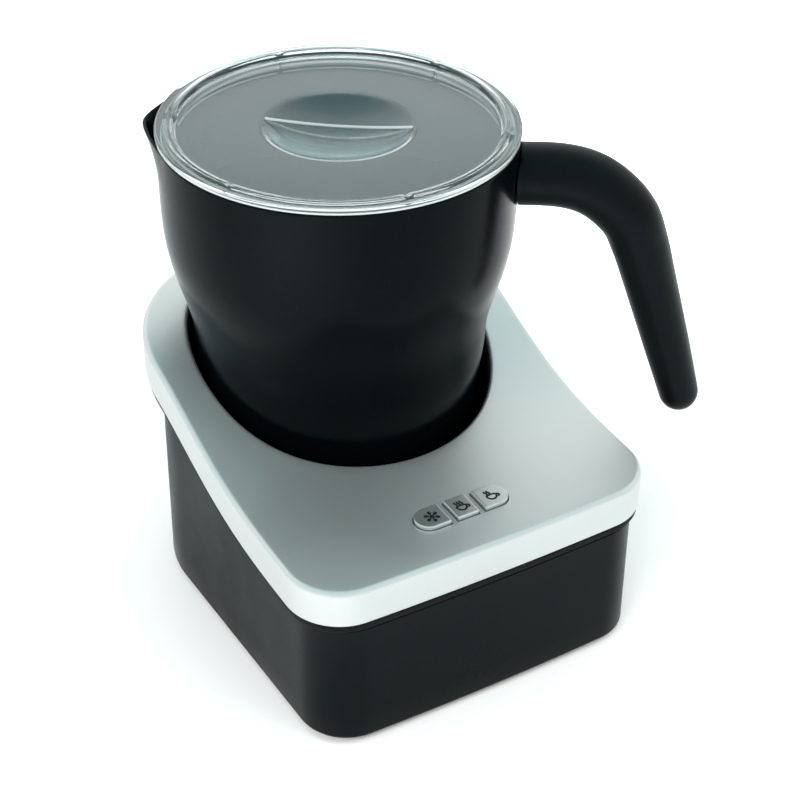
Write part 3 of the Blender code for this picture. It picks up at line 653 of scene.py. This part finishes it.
def make_screws():
    """Cross-head screws under the base, each with a run of thread rings."""
    for i in range(1, 5):
        node = "base_screw_%d" % i
        lo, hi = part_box(node)
        at = centre(lo, hi)
        prof = [(0, 0.0105), (0.0007, 0.0105), (0.0012, 0.0097)]
        for k in range(12):
            z = 0.0095 - 0.0004 * k
            prof += [(0.0013, z), (0.0010, z - 0.0002)]
        prof += [(0.0013, 0.0046), (0.0028, 0.0044), (0.0028, 0.0033), (0.0022, 0.0029),
                 (0, 0.0029)]
        obj = add("screw_%d" % i, spin(prof, 32, at), ZINC, "zinc", "base", node)
        tools = []
        for turn in (0.0, pi / 2):
            bm = bmesh.new()
            bmesh.ops.create_cube(bm, size=1.0)
            bmesh.ops.scale(bm, vec=(0.0026, 0.0006, 0.0016), verts=bm.verts)
            bmesh.ops.rotate(bm, matrix=Matrix.Rotation(turn, 3, 'Z'), verts=bm.verts)
            bmesh.ops.translate(bm, vec=(at[0], at[1], 0.0029), verts=bm.verts)
            tools.append(cutter(bm))
        cut(obj, tools)


def make_inlet():
    """The rubber bush in the back wall, flanged on both sides of it."""
    prof = [(0.0034, 0.0018), (0.0066, 0.0018), (0.0070, 0.0008), (0.0070, 0.0006),
            (0.0048, 0.0004), (0.0048, -0.0034), (0.0070, -0.0036), (0.0070, -0.0056),
            (0.0034, -0.0056)]
    bm = spin(soften(prof, 0.0003, 3, True), 64, loop=True)
    bmesh.ops.rotate(bm, matrix=Matrix.Rotation(radians(-90), 3, 'X'), verts=bm.verts)
    bmesh.ops.translate(bm, vec=(0, BACK_Y, INLET_Z), verts=bm.verts)
    add("inlet_bush", bm, RUBBER, "rubber", "base", "cord_inlet")


# ---- keys and their symbols ------------------------------------------------------------------
def key_top(y):
    """Height of a key's face, which slopes with the deck."""
    return deck(y) + KEY_PROUD


def stroke(bm, points, width, closed=False):
    """A thin printed line following points on top of a key."""
    sunk, proud = -0.0001, 0.00008
    n = len(points)
    rows = []
    for i, (x, y) in enumerate(points):
        a = points[(i + 1) % n] if closed or i < n - 1 else points[i]
        b = points[i - 1] if closed or i > 0 else points[i]
        dx, dy = a[0] - b[0], a[1] - b[1]
        run = hypot(dx, dy)
        ox, oy = -dy / run * width / 2, dx / run * width / 2
        rows.append([bm.verts.new((px, py, key_top(py) + h)) for px, py, h in
                     ((x + ox, y + oy, sunk), (x + ox, y + oy, proud),
                      (x - ox, y - oy, proud), (x - ox, y - oy, sunk))])
    if closed:
        rows.append(rows[0])
    for a, b in zip(rows, rows[1:]):
        band(bm, a, b)
    if not closed:
        bm.faces.new(rows[0][::-1])
        bm.faces.new(rows[-1])


def snowflake(cx, cy):
    """Six arms with two pairs of side branches each."""
    bm = bmesh.new()
    arm, line = 0.0025, 0.00058
    for i in range(6):
        a = radians(30 + 60 * i)
        ux, uy = cos(a), sin(a)
        stroke(bm, [(cx, cy), (cx + ux * arm, cy + uy * arm)], line)
        for share, size in ((0.55, 0.0008), (0.85, 0.0006)):
            px, py = cx + ux * arm * share, cy + uy * arm * share
            for turn in (-50, 50):
                b = a + radians(turn)
                stroke(bm, [(px, py), (px + cos(b) * size, py + sin(b) * size)], line * 0.85)
    return bm


def cup(cx, cy, wisps):
    """A round-bottomed cup with a handle, and a number of steam lines above its left side."""
    bm = bmesh.new()
    line, w, h = 0.00066, 0.0017, 0.0018
    top = cy + 0.0001
    bowl = [(cx - w, top)]
    bowl += [(cx + w * cos(a), top + h * sin(a) * 1.05) for a in
             [radians(180 + 180 * k / 16) for k in range(1, 16)]]
    bowl += [(cx + w, top)]
    bowl += [(cx + w * cos(a), top + 0.00042 * sin(a)) for a in
             [radians(180 * k / 12) for k in range(1, 12)]]
    stroke(bm, bowl, line, True)
    ear = [(cx + w * 0.93 + 0.0010 * sin(a), top - 0.00065 + 0.00062 * cos(a)) for a in
           [radians(20 + 145 * k / 10) for k in range(11)]]
    stroke(bm, ear, line)
    for i in range(wisps):
        x = cx - 0.0012 + 0.0010 * i
        y = top + 0.0007
        stroke(bm, [(x + 0.00026 * sin(2 * pi * t), y + 0.0018 * t) for t in
                    [k / 10 for k in range(11)]], line)
    return bm


def make_keys():
    symbols = {"cold": lambda x: snowflake(x + 0.0006, KEY_Y - 0.0002),
               "hot": lambda x: cup(x - 0.0002, KEY_Y - 0.0004, 3),
               "warm": lambda x: cup(x - 0.0006, KEY_Y - 0.0004, 2)}
    for n in KEYS:
        node = "key_" + n
        outline = key_outline(n)
        add("cap_" + n, prism(outline, 0.0540, key_top), KEY_SILVER, "silver", node, node,
            mods=(bevelled(0.0005, 4, 50),))
        cx = (min(p[0] for p in outline) + max(p[0] for p in outline)) / 2
        add("symbol_" + n, symbols[n](cx), INK, "black_plastic", node, smooth=20)


# ---- jug -------------------------------------------------------------------------------------
JUG_LINE = ((0.0438, 0.0400), (0.0446, 0.0520), (0.0459, 0.0680), (0.0472, 0.0760),
            (0.0482, 0.0830), (0.0487, 0.0900), (0.0493, 0.0965), (0.0507, 0.1030),
            (0.0530, 0.1110), (0.0549, 0.1180), (0.0564, 0.1260), (0.0571, 0.1350),
            (0.0574, 0.1460), (JUG_R, 0.1540), (JUG_R, JUG_RIM - 0.0006))


def lip_push(angle, z):
    """How far the pouring lip carries the wall outwards at this compass and height."""
    off = (angle - radians(HANDLE_DEG + 180) + pi) % (2 * pi) - pi
    nose = radians(4.0)
    off = sqrt(off * off + nose ** 2) - nose
    rise = max(0.0, min(1.0, (z - SPOUT_Z) / (JUG_RIM - SPOUT_Z)))
    return SPOUT_REACH * max(0.0, 1 - off / radians(SPOUT_HALF)) ** 1.5 * rise ** 1.4


def make_jug():
    """The coated jug with its lining, its foot ring, heat disc and the whisk's spindle."""
    wall = smooth_line(JUG_LINE, 6)
    foot = soften([(0.0365, JUG_FOOT), (0.0412, 0.0358), (0.0430, 0.0372), (0.0438, 0.0400)],
                  0.0008, 3)
    outer = [(0.0, JUG_FOOT)] + foot[:-1] + wall
    rim_mid = JUG_R - JUG_T / 2
    rim = [(rim_mid + JUG_T / 2 * cos(a), JUG_RIM - 0.0006 + 0.0006 * sin(a)) for a in
           [radians(180 * k / 8) for k in range(1, 8)]]
    inner = [(r - JUG_T, z) for r, z in wall[::-1]]
    floor = soften([inner[-1], (0.0426, 0.0385), (0.0405, 0.0369), (0.0365, JUG_FLOOR)], 0.001,
                   3)
    prof = outer + rim + inner + floor[1:] + [(0.0, JUG_FLOOR)]

    def shape(a, r, z):
        rr = r + (lip_push(a, z) if r > 0.05 else 0.0)
        return rr * cos(a), rr * sin(a), z
    bm = spin(prof, 240, shape=shape)
    # faces nearer the axis than the middle of the wall belong to the lining
    for f in bm.faces:
        c = f.calc_center_median()
        if c.z > (JUG_FOOT + JUG_FLOOR) / 2:
            line_r = [p[0] for p in wall if abs(p[1] - c.z) < 0.004]
            mid = (min(line_r) if line_r else 0.0430) - JUG_T * 0.5
            if c.xy.length < mid:
                f.material_index = 1
    add("jug_body", bm, [COATED, LINING], "coated_black", "jug", "jug_shell", smooth=45)
    ring = [(0.0385, 0.0353), (0.0410, 0.0353), (0.0410, 0.0343), (0.0385, 0.0343)]
    add("foot_ring_pad", spin(soften(ring, 0.0003, 4, True), 128, loop=True), SILICONE,
        "silicone", "jug_carrier", "jug_foot_ring")
    disc = [(0, 0.0353), (0.0375, 0.0353), (0.0375, 0.0346), (0.0330, 0.0346), (0.0328, 0.0348),
            (0.0322, 0.0348), (0.0320, 0.0346), (0, 0.0346)]
    add("heat_disc", spin(soften(disc, 0.0001, 2), 128), STEEL, "steel", "jug", "jug_heat_disc")
    pin = [(0, 0.0500), (0.0016, 0.0500), (0.0022, 0.0492), (0.0022, 0.0381), (0.0050, 0.0381),
           (0.0050, 0.0371), (0, 0.0371)]
    add("spindle_pin", spin(soften(pin, 0.0003, 4), 64), STEEL, "steel", "jug", "whisk_spindle")


# the grip's middle line: distance from the jug axis, height and half thickness
HANDLE_KEYS = ((0.0540, 0.1481, 0.0099), (0.0710, 0.1481, 0.0100), (0.0825, 0.1445, 0.0100),
               (0.0923, 0.1356, 0.0098), (0.0972, 0.1249, 0.0093), (0.1013, 0.1121, 0.00875),
               (0.1056, 0.0983, 0.0082), (0.1101, 0.0838, 0.0076), (0.1147, 0.0686, 0.0068))


def make_handle():
    """The soft grip: rings along its middle line, the first ones pressed on the jug's wall."""
    line = smooth_line(HANDLE_KEYS, 14)
    (s0, z0, _), (s1, z1, r1) = HANDLE_KEYS[-2], HANDLE_KEYS[-1]
    run = hypot(s1 - s0, z1 - z0)
    ux, uz = (s1 - s0) / run, (z1 - z0) / run
    for deg in range(8, 89, 8):
        a = radians(deg)
        line.append((s1 + ux * r1 * sin(a), z1 + uz * r1 * sin(a), r1 * cos(a)))
    turn = Matrix.Rotation(radians(HANDLE_DEG), 3, 'Z')
    back_turn = turn.transposed()
    around, root_rings, plug = 64, 20, 0.0036
    rings = []
    root_r = JUG_R + 0.00035
    for i, (s, z, r) in enumerate(line):
        a = line[min(i + 1, len(line) - 1)]
        b = line[max(i - 1, 0)]
        way = Vector((a[0] - b[0], 0, a[1] - b[1])).normalized()
        up = Vector((-way.z, 0, way.x))
        ring = []
        for j in range(around):
            t = 2 * pi * j / around
            y = r * HANDLE_WIDE * cos(t)
            p = Vector((s, 0, z)) + up * (r * sin(t)) + Vector((0, y, 0))
            reach = sqrt(root_r ** 2 - min(p.y ** 2, root_r ** 2))
            if i < root_rings and p.x < reach:
                p.x = reach
            ring.append(turn @ p)
        rings.append(ring)
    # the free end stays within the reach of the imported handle
    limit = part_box("handle")[1][0] - AXIS.x - 0.00005
    near = limit - 0.014
    most = max(p.x for ring in rings for p in ring)
    if most > limit:
        for p in [p for ring in rings for p in ring if p.x > near]:
            p.x = near + (p.x - near) * (limit - near) / (most - near)
    # drop the rings that fell wholly inside the jug, and keep the last one pressed on its wall
    first = max(i for i in range(root_rings)
                if all(abs((back_turn @ p).xy.length - root_r) < 1e-6 for p in rings[i]))
    rings = rings[first:]
    # the root is hollow at the back, which leaves room for the bracket on the jug
    root_z = HANDLE_KEYS[0][1]
    back = []
    for share, push in ((0.97, -0.0001), (0.72, -0.0001), (0.70, plug)):
        ring = []
        for p in rings[0]:
            q = back_turn @ p
            y, z = q.y * share, root_z + (q.z - root_z) * share
            x = sqrt(root_r ** 2 - y ** 2) - 0.0001 + push
            ring.append(turn @ Vector((max(x, root_r * 0.97), y, z)))
        back.append(ring)
    end = turn @ Vector((line[-1][0] + ux * 0.0001, 0, line[-1][1] + uz * 0.0001))
    start = turn @ Vector((root_r + plug, 0, root_z))
    add("grip", loft(back[::-1] + rings, first=start, last=end), SOFT, "soft_black", "jug",
        "handle", smooth=50)


# ---- whisk -----------------------------------------------------------------------------------
def make_whisk():
    """The whisk disc on its bush, with a ring magnet below and a coiled spring round it."""
    bush = [(0.0023, 0.0480), (0.0040, 0.0480), (0.0040, 0.0384), (0.0023, 0.0384)]
    add("bush_sleeve", spin(soften(bush, 0.0003, 3, True), 64, loop=True), NYLON, "nylon",
        "whisk_carrier", "whisk_bush")
    disc = [(0.00409, 0.0476), (0.0058, 0.0476), (0.0070, 0.0432), (0.0160, 0.0424),
            (0.0170, 0.0418), (0.0170, 0.0390), (0.0166, 0.0386), (0.00409, 0.0386)]
    add("whisk_hub", spin(soften(disc, 0.0006, 4, True), 96, loop=True), NYLON, "nylon", "whisk",
        "whisk_disc")
    mag = [(0.0080, 0.0383), (0.0130, 0.0383), (0.0130, 0.0372), (0.0080, 0.0372)]
    add("magnet_ring", spin(soften(mag, 0.0002, 3, True), 96, loop=True), FERRITE, "ferrite",
        "whisk", "whisk_magnet")
    turns, per, big, small = 44, 10, 0.0191, 0.00135
    coil = []
    for i in range(turns * per):
        a, b = 2 * pi * i / (turns * per), 2 * pi * i / per
        r = big + small * cos(b)
        coil.append((r * cos(a), r * sin(a), 0.0405 + small * sin(b)))
    add("whisk_coil", tube(coil, 0.00024, 6, True), STEEL, "steel", "whisk", "whisk_spring")


# ---- lid -------------------------------------------------------------------------------------
def about_lid(x, y, z):
    """A point laid out along the lid's grip bar, turned to the lid's place on the jug."""
    turn = radians(LID_DEG)
    return x * cos(turn) - y * sin(turn), x * sin(turn) + y * cos(turn), z


def bar_top(share):
    """Height of the grip bar's top edge, which dips slightly towards the middle."""
    return 0.1638 - 0.0012 * (1 - share ** 2)


def make_lid():
    """The clear lid with its double bead, slotted skirt and finger bowl, its bar and seal."""
    plate, under = 0.1632, 0.1616
    prof = [(0, 0.1582), (0.0040, 0.1584), (0.0080, 0.1588), (0.0120, 0.1595), (0.0160, 0.1605),
            (0.0200, 0.1618), (BOWL_R + 0.0004, plate), (BOWL_R + 0.0016, plate),
            (0.0380, plate), (0.0512, plate), (0.0519, 0.1645), (0.0524, LID_TOP),
            (0.0530, 0.1645), (0.0533, 0.1640), (0.0536, 0.1645), (0.0541, LID_TOP),
            (0.0547, 0.1645), (0.0551, 0.1640), (0.0571, 0.1641), (LID_R, 0.1637),
            (LID_R, 0.1624), (0.0572, 0.1623), (0.0550, 0.1623), (0.0550, 0.1576),
            (0.0520, 0.1576), (0.0516, under), (0.0252, under), (0.0236, 0.1613),
            (0.0200, 0.1600), (0.0160, 0.1588), (0.0120, 0.1579), (0.0080, 0.1572),
            (0.0040, 0.1568), (0, 0.1567)]
    radii = [0, 0.002, 0.002, 0.002, 0.002, 0.002, 0.0004, 0, 0, 0.0003, 0.0003, 0.0004, 0.0002,
             0.0002, 0.0002, 0.0004, 0.0003, 0.0003, 0.0003, 0.0005, 0.0005, 0.0003, 0.0004,
             0.0003, 0.0003, 0.0004, 0.0006, 0.0008, 0.002, 0.002, 0.002, 0.002, 0.002, 0]
    slots = [radians(d) for d in SKIRT_SLOTS]

    def shape(a, r, z):
        k = BOWL_OVAL if r < 0.03 else 1.0
        # six slots let the skirt spring into the jug; each also notches the bead above it
        if min(abs((a - b + pi) % (2 * pi) - pi) for b in slots) < 0.002 and 0.0517 < r < 0.0552:
            z = min(z, 0.1641) if z > 0.1625 else max(z, 0.1610)
        return about_lid(r * cos(a), r * sin(a) * k, z)
    bm = spin(soften(prof, radii, 5), 288, shape=shape)
    # painted highlights along the thin edges: the beads, the rim and the end of the skirt
    for f in bm.faces:
        c = f.calc_center_median()
        r = hypot(c.x, c.y)
        on_rim, outer = r > LID_R - 0.00025, r > 0.05
        if (outer and c.z > LID_TOP - 0.00012) or (on_rim and c.z > 0.1630):
            f.material_index = 1
        if (on_rim and c.z < 0.1630) or (outer and c.z < 0.1578):
            f.material_index = 2
    add("lid_plate", bm, [CLEAR, CLEAR_EDGE_HIGHLIGHT, CLEAR_LINE_HIGHLIGHT], "clear", "lid", "lid", smooth=35)
    # grip bar across the bowl
    half, thick, steps = BOWL_R + 0.0002, 0.0008, 40
    rings = []
    for k in range(steps + 1):
        x = half * (2 * k / steps - 1)
        top, low = bar_top(x / half), 0.1581 + 0.0050 * (x / half) ** 2
        section = soften([(-thick, low), (thick, low), (thick * 0.7, top), (-thick * 0.7, top)],
                         [0.0002, 0.0002, 0.0005, 0.0005], 4, True)
        rings.append([about_lid(x, y, z) for y, z in section])
    ends = [(sum(p[0] for p in g) / len(g), sum(p[1] for p in g) / len(g), g[0][2])
            for g in (rings[0], rings[-1])]
    bm = loft(rings, ends[0], ends[1])
    turn = radians(LID_DEG)
    # painted highlight: the bar's top edge takes the whitish line material
    for f in bm.faces:
        c = f.calc_center_median()
        if c.z > bar_top((c.x * cos(turn) + c.y * sin(turn)) / half) - 0.0004:
            f.material_index = 1
    add("lid_bar", bm, [CLEAR, CLEAR_LINE_HIGHLIGHT], "clear", "lid", smooth=35)
    seal = [(0.0553, 0.1605), (0.0559, 0.1603), (0.0557, 0.1599), (0.0559, 0.1595),
            (0.0557, 0.1591), (0.0559, 0.1587), (0.0553, 0.1585)]
    add("seal_band", spin(soften(seal, 0.0002, 3, True), 144, loop=True), SILICONE, "silicone",
        "lid_carrier", "lid_seal")


# ---- inside the base -------------------------------------------------------------------------
def make_windings():
    """Two flat induction coils, each of two layers of closed wire rings."""
    height = 0.0030
    for node, r0, r1 in (("coil_inner", 0.0165, 0.0240), ("coil_outer", 0.0330, 0.0430)):
        bm = bmesh.new()
        wire = 0.00072
        count = int((r1 - r0) / (2 * wire))
        pitch = (r1 - r0 - 2 * wire) / (count - 1)
        for layer in (0, 1):
            z = COIL_SEAT + wire + layer * (height - 2 * wire)
            for k in range(count):
                r = r0 + wire + pitch * k
                tube([(r * cos(2 * pi * i / 72), r * sin(2 * pi * i / 72), z) for i in range(72)],
                     wire * 0.97, 8, True, bm)
        add(node + "_wire", bm, COPPER, "copper", "base", node)


def make_choke():
    """A ring core wound with one long wire."""
    lo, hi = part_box("line_choke")
    cx, cy, _ = centre(lo, hi)
    cz, mid, sec = 0.0178, 0.0075, 0.0024
    bm = bmesh.new()
    turns, per = 26, 14
    pts = []
    for i in range(turns * per):
        a, b = 2 * pi * i / (turns * per), 2 * pi * i / per
        r = mid + sec * cos(b)
        pts.append((cx + r * cos(a), cy + r * sin(a), cz + sec * 1.6 * sin(b)))
    tube(pts, 0.00045, 6, True, bm)
    core = [(mid - 0.0018, cz + 0.0032), (mid + 0.0018, cz + 0.0032), (mid + 0.0018, cz - 0.0032),
            (mid - 0.0018, cz - 0.0032)]
    spin(soften(core, 0.0005, 3, True), 48, (cx, cy, 0), True, bm=bm)
    add("choke_winding", bm, COPPER, "copper", "base", "line_choke")


def make_sensor_spring():
    """The coil under the jug sensor, drawn at one length; the real one shortens as the plunger is
    pressed.
    """
    wire, turns, per, r = 0.00022, 3, 24, 0.0027
    low, high, y = COIL_SEAT + wire, 0.0304 - wire, SENSOR_Y
    pts = [(r * cos(2 * pi * i / per), y + r * sin(2 * pi * i / per),
            low + (high - low) * i / (turns * per)) for i in range(turns * per + 1)]
    obj = add("spring_coil", tube(pts, wire, 10), STEEL, "steel", "base", "sensor_spring",
              smooth=60)
    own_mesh(obj)


def dress_cad_nodes():
    """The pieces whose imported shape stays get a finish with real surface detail."""
    looks = {"base_plate": BLACK, "motor_can": ZINC, "motor_bracket": NYLON,
             "coil_carrier": NYLON, "control_board": BOARD,
             "key_frame": INNER_BLACK, "power_board": BOARD, "heat_sink": ALU,
             "filter_capacitor": BLACK, "drive_shaft": STEEL, "drive_disc": NYLON,
             "drive_magnet_1": STEEL, "drive_magnet_2": STEEL, "sensor_plunger": STEEL,
             "handle_bracket": BLACK}
    looks.update({"ferrite_bar_%d" % i: FERRITE for i in range(1, 5)})
    looks.update({"switch_" + n: BLACK for n in KEYS})
    for node, look in looks.items():
        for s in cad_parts[node].material_slots:
            s.material = look


# ---- stage -----------------------------------------------------------------------------------
def make_floor():
    """A wide pale floor."""
    m, t, b, _ = nodes_of("pale_floor")
    tone = ramp(t, noise(t, 3.0, 2.0), 0.0, 1.0)
    t.links.new(blend_colour(t, tone, (0.95, 0.91, 0.905), (0.96, 0.92, 0.915)),
                b.inputs["Base Color"])
    b.inputs["Roughness"].default_value = 0.9
    b.inputs["Specular IOR Level"].default_value = 0.1
    bm = bmesh.new()
    bmesh.ops.create_grid(bm, x_segments=8, y_segments=8, size=6.0)
    me = bpy.data.meshes.new("floor")
    bm.to_mesh(me)
    bm.free()
    me.materials.append(m)
    floor = bpy.data.objects.new("floor", me)
    bpy.context.scene.collection.objects.link(floor)


def panel(name, at, size, power, look=(0, 0, 0.08), spread=180.0):
    """A soft box of the given size facing a point, its light kept within an angle.  It does
    not show in the glossy surfaces."""
    data = bpy.data.lights.new(name, 'AREA')
    data.shape = 'RECTANGLE'
    data.size, data.size_y = size
    data.energy = power
    data.spread = radians(spread)
    data.color = (1.0, 0.96, 0.955)
    obj = bpy.data.objects.new(name, data)
    obj.location = Vector(at)
    obj.visible_glossy = False
    obj.rotation_euler = (Vector(look) - Vector(at)).to_track_quat('-Z', 'Y').to_euler()
    bpy.context.scene.collection.objects.link(obj)


def make_light():
    """A pale sky with a bright screen behind the object, two large soft boxes and two narrow
    ones on the floor beside it."""
    w = bpy.data.worlds.new("studio")
    w.use_nodes = True
    t = w.node_tree
    bg = t.nodes["Background"]
    at = t.nodes.new("ShaderNodeTexCoord")
    sep = t.nodes.new("ShaderNodeSeparateXYZ")
    t.links.new(at.outputs["Generated"], sep.inputs["Vector"])
    z = sep.outputs["Z"]
    sky = blend_colour(t, ramp(t, z, 0.0, 1.0, 0.45, 0.85), (0.91, 0.93, 0.92), (0.62, 0.93, 0.95))
    # a large bright screen low behind the object
    facing = vector_maths(t, 'DOT_PRODUCT', at.outputs["Generated"], (0.52, 0.85, 0.0))
    glow = maths(t, 'MULTIPLY', ramp(t, z, 0.0, 1.0, 0.15, 0.45),
                 ramp(t, z, 1.0, 0.0, 0.70, 0.94))
    glow = maths(t, 'MULTIPLY', glow, ramp(t, facing, 0.0, 1.0, -0.1, 0.6))
    t.links.new(blend_colour(t, glow, sky, (1.42, 1.47, 1.45)), bg.inputs["Color"])
    bg.inputs["Strength"].default_value = 1.05
    bpy.context.scene.world = w
    panel("front_box", (0.9, -1.2, 1.9), (1.2, 0.9), 13.0)
    panel("left_box", (-1.5, -0.9, 1.3), (1.2, 1.0), 30.0)
    panel("floor_box_right", (0.27, 0.24, 1.5), (0.15, 0.15), 0.8, (0.27, 0.24, 0.0), 18.0)
    panel("floor_box_left", (-0.34, -0.20, 1.5), (0.15, 0.15), 0.7, (-0.34, -0.20, 0.0), 18.0)
    view = bpy.context.scene.view_settings
    view.view_transform = 'Standard'
    view.look = 'None'


def make_camera():
    """A long lens from the front left and above, rolled a little."""
    az, el, roll = radians(-31.574), radians(34.576), radians(0.725)
    back = Vector((sin(az) * cos(el), -cos(az) * cos(el), sin(el)))
    right = (-back).cross(Vector((0, 0, 1))).normalized()
    up = right.cross(-back)
    across = right * cos(roll) + up * sin(roll)
    over = up * cos(roll) - right * sin(roll)
    at = Vector((-0.27549, -0.48712, 0.44345)) + AXIS
    data = bpy.data.cameras.new("camera")
    data.sensor_width = 36.0
    data.lens = 88.80
    data.clip_start = 0.01
    cam = bpy.data.objects.new("camera", data)
    cam.matrix_world = Matrix(((across.x, over.x, back.x, at.x), (across.y, over.y, back.y, at.y),
                               (across.z, over.z, back.z, at.z), (0, 0, 0, 1)))
    bpy.context.scene.collection.objects.link(cam)
    bpy.context.scene.camera = cam


make_camera()
make_cover()
make_frame_lip()
make_housing()
make_well()
make_feet()
make_screws()
make_inlet()
make_keys()
make_jug()
make_handle()
make_whisk()
make_lid()
make_windings()
make_choke()
make_sensor_spring()
dress_cad_nodes()
make_floor()
make_light()
